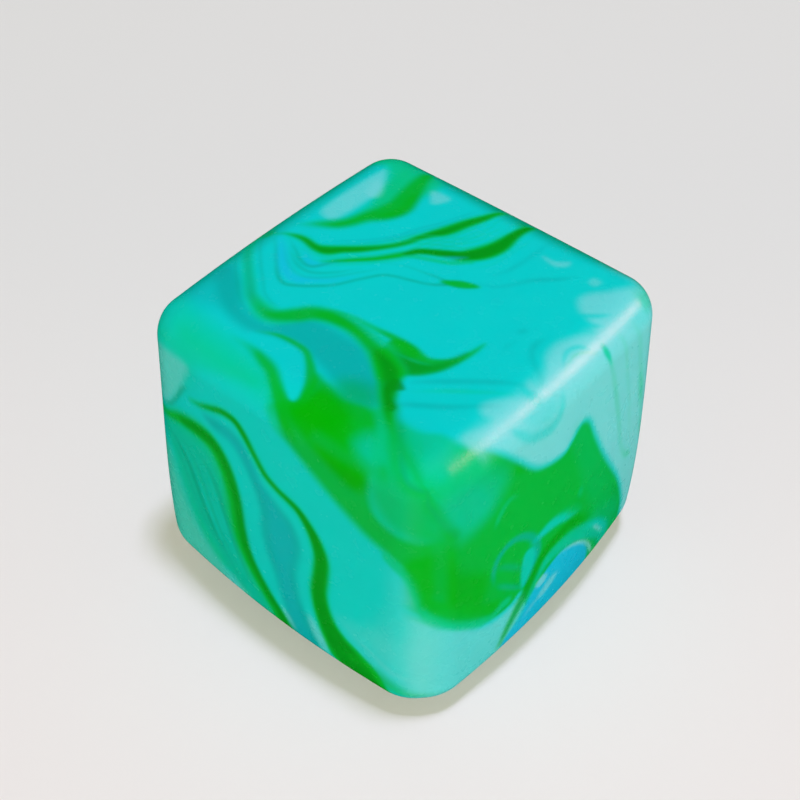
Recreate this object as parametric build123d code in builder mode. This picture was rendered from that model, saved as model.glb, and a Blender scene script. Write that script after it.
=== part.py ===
"""Soft squeeze cube: a thin moulded rubber skin, filled with a stiff gel and closed by a plug.

Millimetres, +Z up. The origin is the middle of the base, on the surface the cube stands on.
The cube has settled a little under its own weight: it is lower than it is wide, its sides
bulge most in their lower third, and its lower edges are rounder than its upper ones.
"""
import os
from math import cos, radians, sin

from build123d import *

# ---- the settled cube -----------------------------------------------------------------
UPRIGHT_WIDTH = 56.0     # width over the upright edges at mid height; moulded, it was 57
HEIGHT = 52.9            # settled height
SPREAD = 0.45            # the base's upright edges stand this much further out, the top's in
EDGE_BOW = 1.2           # how far the middle of every level edge bows out
SIDE_BULGE = 2.0         # how far each side's middle bulges beyond that, about
BULGE_SAG = 0.75         # 0 is fullest at mid height; more than 0 moves the bulge down
UPRIGHT_RADIUS = 6.4     # the four upright edges
TOP_RADIUS = 6.0         # the four upper edges
BASE_RADIUS = 7.4        # the four lower edges, which the weight rolls under
CORNER_SHRINK = 0.65     # how fast the upright radius shrinks as an edge rounds over
QUARTER_STEPS = 5        # slices in each quarter round of an upper or lower edge
SIDE_STEPS = 6           # parts that slices divide the side into between the quarter rounds

# ---- skin and filling -----------------------------------------------------------------
WALL = 1.8               # thickness of the moulded skin
SPLIT_HEIGHT = 26.5      # where the upper half of the skin meets the lower half
FILLING_GAP = 0.3        # film of release oil between the filling and the skin

# ---- filling port in the middle of the base -------------------------------------------
BOSS_DIAMETER = 16.0     # thicker pad inside the skin around the port
BOSS_HEIGHT = 2.0        # how far the pad stands above the cavity's floor
PORT_DIAMETER = 6.0      # bore that the filling went in through
SEAT_DIAMETER = 10.4     # recess for the plug's head
SEAT_DEPTH = 1.5
HEAD_DIAMETER = 10.0
HEAD_RECESS = 0.35       # the head lies this far above the surface the cube stands on
GLUE_THICKNESS = 0.2     # ring of set adhesive between the head and its seat
GLUE_INNER_DIAMETER = 6.6
SHANK_DIAMETER = 5.9
LIP_DIAMETER = 7.4       # the plug's lip, which snaps out over the pad
LIP_HEIGHT = 1.6
LIP_NOSE_DIAMETER = 4.2
EDGE_BREAK = 0.25        # small rounding on the plug's head and on the seat's mouth
POCKET_GAP = 0.3         # room in the filling around the pad and the lip

CAVITY_FLOOR = WALL
BOSS_TOP = CAVITY_FLOOR + BOSS_HEIGHT
LIP_TOP = BOSS_TOP + LIP_HEIGHT
HEAD_TOP = SEAT_DEPTH - GLUE_THICKNESS


def bulge(part_way):
    """How far a side's middle stands out, from the base (part_way -1) to the top (1)."""
    shape = (1 - part_way**2) * (1 - BULGE_SAG * part_way)
    return EDGE_BOW + SIDE_BULGE * shape


def section(height, half_width, stand_out, corner_radius):
    """One level slice: a square with bowed sides and round corners."""
    corner = half_width
    middle = half_width + stand_out
    with BuildSketch(Plane.XY.offset(height)) as outline:
        with BuildLine():
            ThreePointArc((corner, -corner), (middle, 0), (corner, corner))
            ThreePointArc((corner, corner), (0, middle), (-corner, corner))
            ThreePointArc((-corner, corner), (-middle, 0), (-corner, -corner))
            ThreePointArc((-corner, -corner), (0, -middle), (corner, -corner))
        make_face()
        fillet(outline.vertices(), radius=corner_radius)
    return outline.sketch.face()


def levels(inset, floor):
    """Height and draw-in of every slice, up one side: a quarter round, the side, a quarter round."""
    top = HEIGHT - inset
    base_radius = BASE_RADIUS - inset
    top_radius = TOP_RADIUS - inset
    base_round = []
    top_round = []
    for step in range(QUARTER_STEPS + 1):
        angle = radians(90 * step / QUARTER_STEPS)
        base_round.append((floor + base_radius * (1 - cos(angle)), base_radius * (1 - sin(angle))))
        top_round.append((top - top_radius * (1 - cos(angle)), top_radius * (1 - sin(angle))))
    low = floor + base_radius
    high = top - top_radius
    side = [(low + (high - low) * step / SIDE_STEPS, 0) for step in range(1, SIDE_STEPS)]
    return base_round + side + top_round[::-1]


def slices(inset, floor):
    """The slices of the settled cube, drawn in by inset, from floor up to the top."""
    middle = (floor + HEIGHT - inset) / 2
    reach = HEIGHT - inset - middle
    faces = []
    for height, draw_in in levels(inset, floor):
        part_way = (height - middle) / reach
        half_width = UPRIGHT_WIDTH / 2 - SPREAD * part_way - inset - draw_in
        corner_radius = UPRIGHT_RADIUS - inset - CORNER_SHRINK * draw_in
        faces.append(section(height, half_width, bulge(part_way), corner_radius))
    return faces


# The cube's outside, and the cavity inside its skin.
with BuildPart() as envelope:
    loft(slices(0, 0))

with BuildPart() as cavity:
    loft(slices(WALL, CAVITY_FLOOR))

# The whole skin, before it is divided at SPLIT_HEIGHT.
with BuildPart() as skin:
    add(envelope.part)
    add(cavity.part, mode=Mode.SUBTRACT)
    with Locations((0, 0, CAVITY_FLOOR / 2)):
        Cylinder(BOSS_DIAMETER / 2, BOSS_TOP - CAVITY_FLOOR / 2,
                 align=(Align.CENTER, Align.CENTER, Align.MIN))
    with Locations((0, 0, 0)):
        Cylinder(PORT_DIAMETER / 2, BOSS_TOP,
                 align=(Align.CENTER, Align.CENTER, Align.MIN), mode=Mode.SUBTRACT)
        Cylinder(SEAT_DIAMETER / 2, SEAT_DEPTH,
                 align=(Align.CENTER, Align.CENTER, Align.MIN), mode=Mode.SUBTRACT)
    seat_mouth = skin.edges().filter_by(GeomType.CIRCLE).filter_by_position(Axis.Z, -0.01, 0.01)
    fillet(seat_mouth, radius=EDGE_BREAK)

# Lower half of the skin: base, port and the lower part of the sides.
with BuildPart() as skin_lower:
    add(skin.part)
    split(bisect_by=Plane.XY.offset(SPLIT_HEIGHT), keep=Keep.BOTTOM)
skin_lower.part.label = "skin_lower"

# Upper half of the skin: the top that a palm presses, and the upper part of the sides.
with BuildPart() as skin_upper:
    add(skin.part)
    split(bisect_by=Plane.XY.offset(SPLIT_HEIGHT), keep=Keep.TOP)
skin_upper.part.label = "skin_upper"

# Filling: one mass of stiff gel, with a pocket over the pad and the plug's lip.
with BuildPart() as filling:
    loft(slices(WALL + FILLING_GAP, CAVITY_FLOOR))
    with Locations((0, 0, 0)):
        Cylinder(BOSS_DIAMETER / 2 + POCKET_GAP, BOSS_TOP + POCKET_GAP,
                 align=(Align.CENTER, Align.CENTER, Align.MIN), mode=Mode.SUBTRACT)
        Cylinder(LIP_DIAMETER / 2 + POCKET_GAP, LIP_TOP + POCKET_GAP,
                 align=(Align.CENTER, Align.CENTER, Align.MIN), mode=Mode.SUBTRACT)
filling.part.label = "filling"

# Fill plug: a soft button with a flat head, a shank and a snap lip.
with BuildPart() as fill_plug:
    with BuildSketch(Plane.XZ):
        with BuildLine():
            Polyline(
                (0, HEAD_RECESS),
                (HEAD_DIAMETER / 2, HEAD_RECESS),
                (HEAD_DIAMETER / 2, HEAD_TOP),
                (SHANK_DIAMETER / 2, HEAD_TOP),
                (SHANK_DIAMETER / 2, BOSS_TOP),
                (LIP_DIAMETER / 2, BOSS_TOP),
                (LIP_NOSE_DIAMETER / 2, LIP_TOP),
                (0, LIP_TOP),
                close=True,
            )
        make_face()
    revolve(axis=Axis.Z)
    head_rim = fill_plug.edges().filter_by(GeomType.CIRCLE).sort_by(Axis.Z)[0]
    fillet(head_rim, radius=EDGE_BREAK)
fill_plug.part.label = "fill_plug"

# Plug seal: the ring of set adhesive under the plug's head.
with BuildPart() as plug_seal:
    with BuildSketch(Plane.XY.offset(HEAD_TOP)):
        Circle(HEAD_DIAMETER / 2)
        Circle(GLUE_INNER_DIAMETER / 2, mode=Mode.SUBTRACT)
    extrude(amount=GLUE_THICKNESS)
plug_seal.part.label = "plug_seal"

os.makedirs("parts", exist_ok=True)
export_step(skin_lower.part, "parts/skin_lower.step")
export_step(skin_upper.part, "parts/skin_upper.step")
export_step(filling.part, "parts/filling.step")
export_step(fill_plug.part, "parts/fill_plug.step")
export_step(plug_seal.part, "parts/plug_seal.step")
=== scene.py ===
"""Looks of the soft squeeze cube: a settled, marbled rubber skin around a gel filling.

The skin's shape is worked out from a moulded cube of half edge 1, which settle() turns into
the settled one. The marbling is laid on that same moulded cube, so it follows the skin.
"""
import math

import bpy
import numpy as np
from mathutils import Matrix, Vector


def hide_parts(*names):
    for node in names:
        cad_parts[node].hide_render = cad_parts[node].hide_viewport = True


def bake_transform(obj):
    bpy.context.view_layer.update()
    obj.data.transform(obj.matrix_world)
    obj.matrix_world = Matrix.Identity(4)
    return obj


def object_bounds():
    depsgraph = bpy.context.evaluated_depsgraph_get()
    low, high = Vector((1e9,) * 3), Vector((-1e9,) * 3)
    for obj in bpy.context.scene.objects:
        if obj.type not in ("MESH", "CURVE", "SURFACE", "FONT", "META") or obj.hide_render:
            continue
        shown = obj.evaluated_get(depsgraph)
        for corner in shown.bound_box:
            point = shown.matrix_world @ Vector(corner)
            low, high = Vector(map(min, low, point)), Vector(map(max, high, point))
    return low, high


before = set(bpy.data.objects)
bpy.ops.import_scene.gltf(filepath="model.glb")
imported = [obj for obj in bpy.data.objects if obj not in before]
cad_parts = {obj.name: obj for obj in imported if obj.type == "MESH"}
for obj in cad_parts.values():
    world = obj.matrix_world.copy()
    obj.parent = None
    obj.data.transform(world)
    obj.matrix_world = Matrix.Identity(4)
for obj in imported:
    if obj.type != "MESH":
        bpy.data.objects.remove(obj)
cad_low, cad_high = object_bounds()

MM = 0.001
TINY = 1e-6
HEIGHT = cad_high.z - cad_low.z          # settled height, metres

# ---- shape of the settled cube, in half edges of the cube as it stands ------------------
HEIGHT_RATIO = 0.9446                    # settled height over the width of the upright edges
HALF = HEIGHT / HEIGHT_RATIO / 2         # half the width over the upright edges, metres
TOP_ROUND = 0.213                        # radius of the upper and upright edges
BASE_ROUND = 0.264                       # radius at the base
BOW = 0.041                              # bow of every level edge
LEFT_BOW = 0.036                         # the same on the -X side
BACK_BOW = 0.010                         # and on the +Y side
UPRIGHT_BOW = 0.004                      # bow of every upright edge
BULGE = 0.070                            # extra bulge of each side
BULGE_SAG = 0.75                         # moves the bulge down
FAR_SAG = 1.5                            # the far sides bulge only low down
TOP_CROWN = 0.011                        # dome of the top
TAPER = -0.016                           # the top is narrower than the base
CORNER_PULLS = (                         # (sign of x, y, z), (shift of that corner)
    ((1, 1, -1), (-0.049, 0.029, 0.051)),
    ((-1, -1, -1), (-0.054, 0.008, 0.0)),
    ((1, -1, -1), (-0.006, -0.026, 0.0)),
)
PULL_FALLOFF = 1.6

# ---- skin, filling and the seat in the base, millimetres --------------------------------
WALL = 1.8
FILLING_GAP = 0.3
PORT_SHARE = 0.1                         # grid ring that becomes the mouth of the port
SEAT_RINGS = (                           # (share of the half edge, radius, height), from the port out
    (0.10, 3.0, 1.5), (0.17, 4.98, 1.5), (0.19, 5.16, 1.44), (0.20, 5.2, 1.3), (0.23, 5.2, 0.3),
    (0.245, 5.26, 0.1), (0.26, 5.42, 0.0), (0.30, 7.0, 0.0), (0.60, 16.8, 0.0),
)
PAD_RINGS = (
    (0.10, 3.0, 3.8), (0.23, 7.6, 3.8), (0.27, 8.0, 3.3), (0.30, 8.1, 1.8), (0.60, 16.8, 1.8),
)
POCKET_RINGS = (
    (0.0, 0.0, 5.7), (0.10, 3.4, 5.7), (0.14, 4.0, 5.3), (0.17, 4.1, 4.1), (0.23, 8.0, 4.1),
    (0.27, 8.3, 3.6), (0.30, 8.4, 2.1), (0.60, 16.8, 2.1),
)
ROUND_SHARE = 0.30                       # inside this share the base's grid is laid out in circles

GRID = 180         # squares along each edge of the skin's outside
INNER_GRID = 60                          # and of its inside, which the filling covers
MOULD_HALF = 28.5                        # half the moulded edge, mm: the marbling's scale
SOFT_PASSES = 1                          # times that each point's pigments blend with its neighbours'

# ---- camera ----------------------------------------------------------------------------
AZIMUTH = math.radians(40.42)
ELEVATION = math.radians(45.42)
DISTANCE = 8.81                          # half edges
AIM_RIGHT = math.radians(-0.229)
AIM_UP = math.radians(0.441)
SENSOR = 36.0
LENS = 70.4


def smooth(x):
    """0 below 0, 1 above 1, and a smooth step between."""
    x = np.clip(x, 0, 1)
    return x * x * (3 - 2 * x)


# ---- shapes ----------------------------------------------------------------------------
def cube_grid(n):
    """Points and square faces of a closed cube, -1 to 1, with n squares along each edge."""
    index = {}
    points = []
    faces = []

    def point(i, j, k):
        key = (i, j, k)
        if key not in index:
            index[key] = len(points)
            points.append(key)
        return index[key]

    for axis in range(3):
        for side in (0, n):
            for a in range(n):
                for b in range(n):
                    loop = []
                    for da, db in ((0, 0), (1, 0), (1, 1), (0, 1)):
                        p = [0, 0, 0]
                        p[axis] = side
                        p[(axis + 1) % 3] = a + da
                        p[(axis + 2) % 3] = b + db
                        loop.append(point(*p))
                    faces.append(loop if side else loop[::-1])
    return np.array(points, float) / n * 2 - 1, np.array(faces)


def settle(q):
    """Where points of the moulded cube (half edge 1) lie on the settled cube, in metres."""
    low = np.clip(-q[:, 2], 0, 1)
    round_ = (TOP_ROUND + (BASE_ROUND - TOP_ROUND) * low**2)[:, None]
    inner = np.clip(q, round_ - 1, 1 - round_)
    out = q - inner
    p = inner + out / np.maximum(np.linalg.norm(out, axis=1, keepdims=True), 1e-9) * round_
    x, y, z = p.T.copy()
    sag = (1 - z**2) * (1 - BULGE_SAG * z)
    far = np.clip((1 - z) / 2, 0, 1)**FAR_SAG
    bulge_x = BULGE * sag * np.where(x < 0, far, 1)
    bulge_y = BULGE * sag * np.where(y > 0, far, 1)
    bow_x = UPRIGHT_BOW * (1 - z**2) + np.where(x < 0, LEFT_BOW, BOW) * (1 - y**2)
    bow_y = UPRIGHT_BOW * (1 - z**2) + np.where(y > 0, BACK_BOW, BOW) * (1 - x**2)
    px = x * (1 + bow_x) + np.sign(x) * x**2 * bulge_x * (1 - y**2)
    py = y * (1 + bow_y) + np.sign(y) * y**2 * bulge_y * (1 - x**2)
    pz = z + np.where(z > 0, z**2, 0) * TOP_CROWN * (1 - x**2) * (1 - y**2)
    p = np.stack([px * (1 + TAPER * z), py * (1 + TAPER * z), pz], 1)
    for signs, shift in CORNER_PULLS:
        near = np.ones(len(p))
        for axis, sign in enumerate(signs):
            near *= np.clip((1 + sign * (x, y, z)[axis]) / 2, 0, 1)
        p += near[:, None]**PULL_FALLOFF * np.array(shift)
    p[:, 2] = (p[:, 2] + 1) * HEIGHT_RATIO
    return p * HALF


def normals(points, faces):
    """Outward normals at the points of a closed grid of squares."""
    a, b, c, d = (points[faces[:, i]] for i in range(4))
    lean = np.cross(c - a, d - b)
    out = np.zeros_like(points)
    for i in range(4):
        np.add.at(out, faces[:, i], lean)
    return out / np.linalg.norm(out, axis=1, keepdims=True)


def lay_in_circles(points, q, rings):
    """Lay the middle of the base out in circles, with the radius and height of each ring."""
    share = np.abs(q[:, :2]).max(1)
    here = np.flatnonzero((q[:, 2] < TINY - 1) & (share < rings[-1][0]))
    shares, radii, heights = np.array(rings).T
    share = share[here]
    way = q[here, :2] / np.maximum(np.linalg.norm(q[here, :2], axis=1, keepdims=True), TINY)
    radius = np.interp(share, shares, radii)[:, None]
    laid = np.column_stack([way * radius, np.interp(share, shares, heights)]) * MM
    keep = smooth((share - ROUND_SHARE) / (rings[-1][0] - ROUND_SHARE))[:, None]
    points[here] = laid * (1 - keep) + points[here] * keep


def ring(q, share):
    """The points of one square ring of the base's grid, in order round it from a corner."""
    found = np.flatnonzero((q[:, 2] < TINY - 1) & (np.abs(np.abs(q[:, :2]).max(1) - share) < TINY))
    turn = np.arctan2(q[found, 1], q[found, 0]) + math.radians(135)
    return found[np.argsort((turn + TINY) % (2 * math.pi))]


def shell(rings, n, inset):
    """Grid points, places and faces of one closed surface of the cube, drawn in by inset mm."""
    q, faces = cube_grid(n)
    places = settle(q)
    places -= normals(places, faces) * inset * MM
    lay_in_circles(places, q, rings)
    return q, places, faces


def make_mesh(name, points, faces):
    mesh = bpy.data.meshes.new(name)
    mesh.from_pydata(points.tolist(), [], [list(map(int, f)) for f in faces])
    mesh.polygons.foreach_set("use_smooth", np.ones(len(mesh.polygons), bool))
    mesh.update()
    obj = bpy.data.objects.new(name, mesh)
    bpy.context.scene.collection.objects.link(obj)
    return obj


def make_skin():
    """Outside and inside of the skin, joined round the port in the base."""
    q_out, outside, out_faces = shell(SEAT_RINGS, GRID, 0)
    q_in, inside, in_faces = shell(PAD_RINGS, INNER_GRID, WALL)
    mouth = ring(q_out, PORT_SHARE)
    throat = ring(q_in, PORT_SHARE) + len(q_out)
    q = np.vstack([q_out, q_in])
    points = np.vstack([outside, inside])
    in_port = (q[:, 2] < TINY - 1) & (np.abs(q[:, :2]).max(1) < PORT_SHARE - TINY)
    faces = np.vstack([out_faces, in_faces[:, ::-1] + len(q_out)])
    closed = (np.abs(q[faces][:, :, :2]).max(2) < PORT_SHARE + TINY) & (q[faces][:, :, 2] < TINY - 1)
    faces = faces[~closed.all(1)].tolist()
    step = len(mouth) // len(throat)
    for i in range(len(throat)):
        j = (i + 1) % len(throat)
        span = [mouth[k % len(mouth)] for k in range(step * (i + 1), step * i - 1, -1)]
        faces.append([throat[i], throat[j]] + span)
    used = np.cumsum(~in_port) - 1
    faces = [[used[k] for k in f] for f in faces]
    return make_mesh("skin", points[~in_port], faces), q[~in_port]


def make_gel():
    q, points, faces = shell(POCKET_RINGS, INNER_GRID, WALL + FILLING_GAP)
    return make_mesh("gel", points, faces)


# ---- marbling, painted edge shade and painted reflections: pigments laid one over another on the moulded cube, in millimetres ---
# the dark teal pigment is both marbling lines and painted shade along rounded edges; the pale aqua
# pigment is both marbling and painted reflections and highlight
PIGMENTS = ("cyan", "jade", "dark_teal_and_rim_shade", "green", "leaf", "deep", "sea", "blue", "frost_and_reflection")
PATCH_FADE = 5.0                         # how far a patch reaches past its face's edges, mm
LINE_STEP = 0.35                         # length of the pieces that a stroke is worked out in, mm
LINE_BATCH = 16                          # pieces worked out at a time
STREAK_SOFT = 0.35                       # softness of a fine line, mm
FACES = {                                # face: (axis that it faces along, side)
    "top": (2, 1), "base": (2, -1), "right": (0, 1), "left": (0, -1), "front": (1, -1),
    "back": (1, 1),
}


def curve(points, step, closed=False):
    """A smooth line through the given points (Catmull-Rom), sampled about every step."""
    p = np.array(points, float)
    if closed:
        p = np.vstack([p[-1], p, p[:2]])
    else:
        p = np.vstack([2 * p[0] - p[1], p, 2 * p[-1] - p[-2]])
    spans = []
    for a, b, c, d in zip(p[:-3], p[1:-2], p[2:-1], p[3:]):
        count = max(2, math.ceil(np.linalg.norm((c - b)[:2]) / step))
        t = np.linspace(0, 1, count, endpoint=False)[:, None]
        spans.append(b + (c - a) / 2 * t + (2 * a - 5 * b + 4 * c - d) / 2 * t**2
                     + (3 * b - a - 3 * c + d) / 2 * t**3)
    return np.vstack(spans + [p[-2:-1]])


def widths(points, times=1, more=0):
    """The same stroke with other half widths."""
    return [(across, up, half * times + more) for across, up, half in points]


def on_cube(face, flat):
    """Places on the cube of flat positions on one face; a position past an edge goes round it."""
    axis, side = FACES[face]
    place = np.zeros((len(flat), 3))
    past = np.zeros(len(flat))
    for i, along in enumerate(k for k in range(3) if k != axis):
        place[:, along] = np.clip(flat[:, i], -MOULD_HALF, MOULD_HALF)
        past += np.abs(flat[:, i] - place[:, along])
    place[:, axis] = side * (MOULD_HALF - past)
    return place


class Marbling:
    """Share of each pigment at points of the moulded cube; each stroke covers what is under it."""

    def __init__(self, points):
        self.points = points
        self.share = np.zeros((len(points), len(PIGMENTS)))
        self.share[:, 0] = 1
        self.face = "top"

    def lay(self, pigment, where, cover):
        self.share[where] *= 1 - cover[:, None]
        self.share[where, PIGMENTS.index(pigment)] += cover

    def band(self, pigment, points, soft=0.6, strength=1.0):
        """A stroke along (across, up, half width) points; it follows the surface round edges."""
        line = curve(points, LINE_STEP)
        centres = on_cube(self.face, line[:, :2])
        halves = np.maximum(line[:, 2], 0)
        cover = np.zeros(len(self.points))
        for start in range(0, len(line), LINE_BATCH):
            c = centres[start:start + LINE_BATCH + 1]
            w = halves[start:start + LINE_BATCH + 1]
            reach = w.max() + soft
            above = np.all(self.points > c.min(0) - reach, axis=1)
            near = np.flatnonzero(above & np.all(self.points < c.max(0) + reach, axis=1))
            if len(near):
                inside = w - np.linalg.norm(self.points[near, None] - c, axis=2)
                layer = smooth(inside / soft + 0.5) * np.clip(2 * w / soft, 0, 1)
                cover[near] = np.maximum(cover[near], layer.max(1))
        where = np.flatnonzero(cover)
        self.lay(pigment, where, cover[where] * strength)

    def patch(self, pigment, outline, soft=0.8, strength=1.0):
        """A filled area inside (across, up) points; past its face's edges it fades out."""
        axis, side = FACES[self.face]
        depth = MOULD_HALF - self.points[:, axis] * side
        near = np.flatnonzero(depth < PATCH_FADE)
        flat = np.delete(self.points[near], axis, axis=1)
        past = np.abs(flat) > MOULD_HALF - TINY
        flat += np.sign(flat) * past * depth[near, None]
        line = curve(outline, max(LINE_STEP, soft / 5), closed=True)
        kept = np.all((flat > line.min(0) - soft) & (flat < line.max(0) + soft), axis=1)
        near = near[kept]
        flat = flat[kept]
        inside = np.zeros(len(flat), bool)
        distance = np.full(len(flat), np.inf)
        for (ax, ay), (bx, by) in zip(line[:-1], line[1:]):
            dx, dy = bx - ax, by - ay
            if ay != by:
                crosses = (ay > flat[:, 1]) != (by > flat[:, 1])
                inside ^= crosses & (flat[:, 0] < ax + (flat[:, 1] - ay) * dx / dy)
            reached = (flat[:, 0] - ax) * dx + (flat[:, 1] - ay) * dy
            t = np.clip(reached / max(dx * dx + dy * dy, TINY), 0, 1)
            distance = np.minimum(distance, np.hypot(flat[:, 0] - ax - t * dx, flat[:, 1] - ay - t * dy))
        cover = smooth(np.where(inside, distance, -distance) / soft + 0.5)
        self.lay(pigment, near, cover * smooth(1 - depth[near] / PATCH_FADE) * strength)

    def streaks(self, pigment, points, offsets, half=0.18, strength=0.5, fade=1.0):
        """Fine lines beside a stroke, at the given distances to its left (+) or right (-)."""
        line = curve(points, 0.5)
        along = np.gradient(line[:, :2], axis=0)
        across = np.stack([-along[:, 1], along[:, 0]], 1)
        across /= np.maximum(np.linalg.norm(along, axis=1, keepdims=True), TINY)
        taper = np.sin(np.pi * np.linspace(0.02, 0.98, len(line)))**0.5
        for k, offset in enumerate(offsets):
            beside = line[:, :2] + across * offset
            thread = np.column_stack([beside, half * taper])[::3]
            self.band(pigment, thread, STREAK_SOFT, strength * fade**k)


BAND_1 = ((-.6, 27, .1), (-1.4, 24, .45), (-2, 22, .7), (-3.4, 18.5, 1), (-4.6, 15, 1.1),
    (-6.3, 11.8, .7), (-7.5, 8.5, .6), (-9, 6, .6), (-11.5, 3, .8), (-13.6, 1, .9), (-15.2, -.6, 1.1),
    (-17, -1.2, .8), (-20, -.9, .55), (-22.5, -1.6, .2), (-24, -2.5, .1))
BAND_2 = ((5, 27, .1), (4.4, 24, .7), (4, 21, 1), (3.9, 17.5, 1.5), (3, 14.6, 1.6), (1.2, 12, 1.3),
    (-.6, 10.9, 1), (-2.8, 9.6, .8), (-4.6, 8.3, .7), (-5.6, 6.6, .6), (-7, 4.5, .55), (-8.5, 2.5, .5),
    (-10.2, .7, .45), (-12.2, -1.3, .35), (-14, -3, .1))
MAIN_BAND = ((-29, -3, 1.2), (-25.5, -7.5, 1.3), (-22, -11, 1.3), (-19, -13.6, 1.4), (-16.5, -15.6, 1.6),
    (-13.2, -16.6, 1.6), (-10.6, -16.2, 1.5), (-8.8, -14.2, 1.4), (-7.2, -12.4, 1.4), (-4.8, -11.3, 1.3),
    (-2, -11, 1.1), (.5, -11.2, 1), (4, -12, 1.2), (6.4, -12.7, 1.7), (9.2, -14.2, 2.1))


def top_grounds(m):
    m.face = "top"
    # painted shade: dark teal bands along the far and left rounded edges
    m.band("dark_teal_and_rim_shade", ((-30, 27.6, 2.2), (-14, 26.8, 2.6), (0, 26.4, 2.7), (12, 26.6, 2.6), (20, 27.2, 1.9),
        (27, 28.2, .8)), 4, .85)
    m.band("dark_teal_and_rim_shade", ((-27.6, 30, 2.2), (-27.2, 10, 2.6), (-27.2, -10, 2.6), (-27.6, -22, 2),
        (-28.4, -32, .8)), 4.4, .8)
    m.patch("jade", ((-27, 26), (-14, 25), (-13, 19), (-15, 14), (-17.6, 13), (-19, 17), (-22.4, 21.6),
        (-27, 22)), 2.6, .85)
    # sea-coloured hollows under the main band
    m.patch("sea", ((-24, -12.5), (-20, -14.5), (-16, -18), (-11, -18.3), (-9, -16), (-6.5, -13.3),
        (0, -12.7), (5, -13.6), (10, -17), (12, -20), (9, -21.6), (4, -20.6), (0, -19.4), (-4, -18.7),
        (-8, -19.2), (-12, -21), (-17, -20.6), (-22, -18), (-25, -15)), 2.6, .85)
    m.patch("dark_teal_and_rim_shade", ((6, -19), (10, -17.5), (13, -21), (11, -24), (7, -22.5)), 4, .6)
    m.patch("green", ((5, -20), (9, -18.6), (11.6, -20), (10, -24), (5, -24)), 4, .4)
    m.patch("sea", ((-34, -14), (-22, -13.5), (-17, -18), (-22, -22), (-34, -24)), 5, .45)
    # green and jade towards the near edges
    m.patch("jade", ((-34, -22), (-20, -23), (-10, -23.6), (-5, -24.4), (-2, -27), (0, -34), (-34, -34)),
        4, .42)
    m.patch("jade", ((13.8, -19.3), (16, -20.6), (18.5, -20.8), (20.5, -20.5), (22.5, -19.2),
        (25.5, -18.7), (34, -17), (34, -34), (8, -34)), 1.6, .8)
    m.patch("green", ((1.8, -21), (4, -21.4), (8, -22.4), (12, -21.5), (15, -23.5), (18, -27), (20, -34),
        (-1, -34), (1.5, -27.5), (2.6, -25), (2, -22.5)), 1.6, .9)
    m.patch("leaf", ((4, -22.6), (9, -22.8), (12, -25), (13.5, -34), (1, -34), (3, -27)), 3, .95)
    m.patch("green", ((17, -21), (21, -21), (23.5, -22.5), (24, -26), (20, -26.5), (18, -24)), 4, .3)
    m.patch("cyan", ((19, -20.5), (23, -20), (27, -21), (30, -25), (26, -27), (22, -24)), 5, .2)
    m.patch("green", ((12, -21), (16, -22), (19, -26), (21, -34), (12, -34)), 4, .5)
    m.patch("cyan", ((-36, -22), (-26, -23), (-22, -28), (-22, -36), (-36, -36)), 5, .4)
    # painted reflections: pale patches where light shows on the rounded edges
    m.patch("frost_and_reflection", ((-22.6, 20), (-21.6, 20.2), (-18.4, 15.7), (-19, 13.8), (-19.1, 9.5), (-19.6, 6),
        (-21, 5.4), (-22.6, 6.6), (-22.9, 12)), 1.5, .5)
    m.patch("frost_and_reflection", ((-21.4, 18.4), (-18.2, 15.6), (-18.8, 14), (-20.6, 14.6)), 1.4, .4)
    m.patch("frost_and_reflection", ((-12.8, 21.6), (-9.5, 21.8), (-9.8, 20), (-10.7, 19), (-11.8, 20)), 1.2, .45)
    m.patch("frost_and_reflection", ((10.4, 20), (12.5, 20.2), (14.3, 21.6), (14.4, 20.4), (12.8, 19.4)), 1, .45)
    m.patch("frost_and_reflection", ((19.2, 21), (20.6, 21), (20.3, 19.6), (19.2, 19.8)), 1, .35)
    m.patch("frost_and_reflection", ((24.6, -2.6), (26.6, -3), (26.2, -4.2), (25, -4)), 1, .3)


def top_frost_and_highlight(m):
    m.face = "top"
    # partly pale marbling, partly a painted highlight: the pale field along the edge to the right side
    m.patch("frost_and_reflection", ((25, 24), (22.6, 20), (20.6, 17.4), (20.4, 15.3), (22, 13.6), (24, 13), (26.5, 12),
        (25, 10), (24, 8), (23.2, 5.4), (23.6, 2.6), (25, .9), (27, -1), (29, -4), (34, -4), (34, 28),
        (27, 26)), 2, .6)
    m.patch("frost_and_reflection", ((30, -3.5), (28.4, -4.6), (26, -6), (24.4, -8), (23, -11), (24, -12.4),
        (25.6, -12), (26, -13.4), (25, -16), (25, -17.6), (27, -18), (29, -17.6), (36, -16), (36, -4)),
        1.8, .55)
    m.band("cyan", ((22, 12.4, .4), (24, 14.4, .45), (25.6, 16.6, .2)), .7, .8)
    m.band("cyan", ((23.6, 11.8, .5), (25, 12.8, .45), (26.4, 14.2, .1)), .7, .7)
    m.band("cyan", ((28, 9.2, .3), (26, 8, .4), (25.2, 6.2, .4), (25.6, 4.6, .35), (27, 3, .1)), .7, .8)
    m.band("jade", ((30, 10, .2), (27.4, 7.8, .3), (26.6, 6, .3), (27.2, 4, .2), (28.6, 2.6, .1)), .6,
        .3)
    m.band("sea", ((21.6, 6.2, .1), (21, 3.6, .45), (21.8, 1.4, .4), (24, -.4, .35), (26.6, -1.6, .1)),
        1, .5)
    m.band("sea", ((18.6, 2.4, .1), (18.2, .6, .35), (18.6, -1.4, .1)), 1, .35)
    m.band("sea", ((13, -13.8, .3), (15.4, -11.6, .5), (18.6, -8.8, .5), (22, -6, .45),
        (25.4, -3.6, .2)), 1, .5)
    m.band("jade", ((14, -15.4, .1), (17.6, -12.2, .35), (21.6, -9, .3), (24.6, -6.6, .1)), .8, .5)
    m.band("sea", ((13.8, -18.8, .2), (16, -17.2, .5), (19.6, -14.6, .5), (23, -11.4, .3),
        (25, -9.4, .1)), 1, .55)


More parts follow.
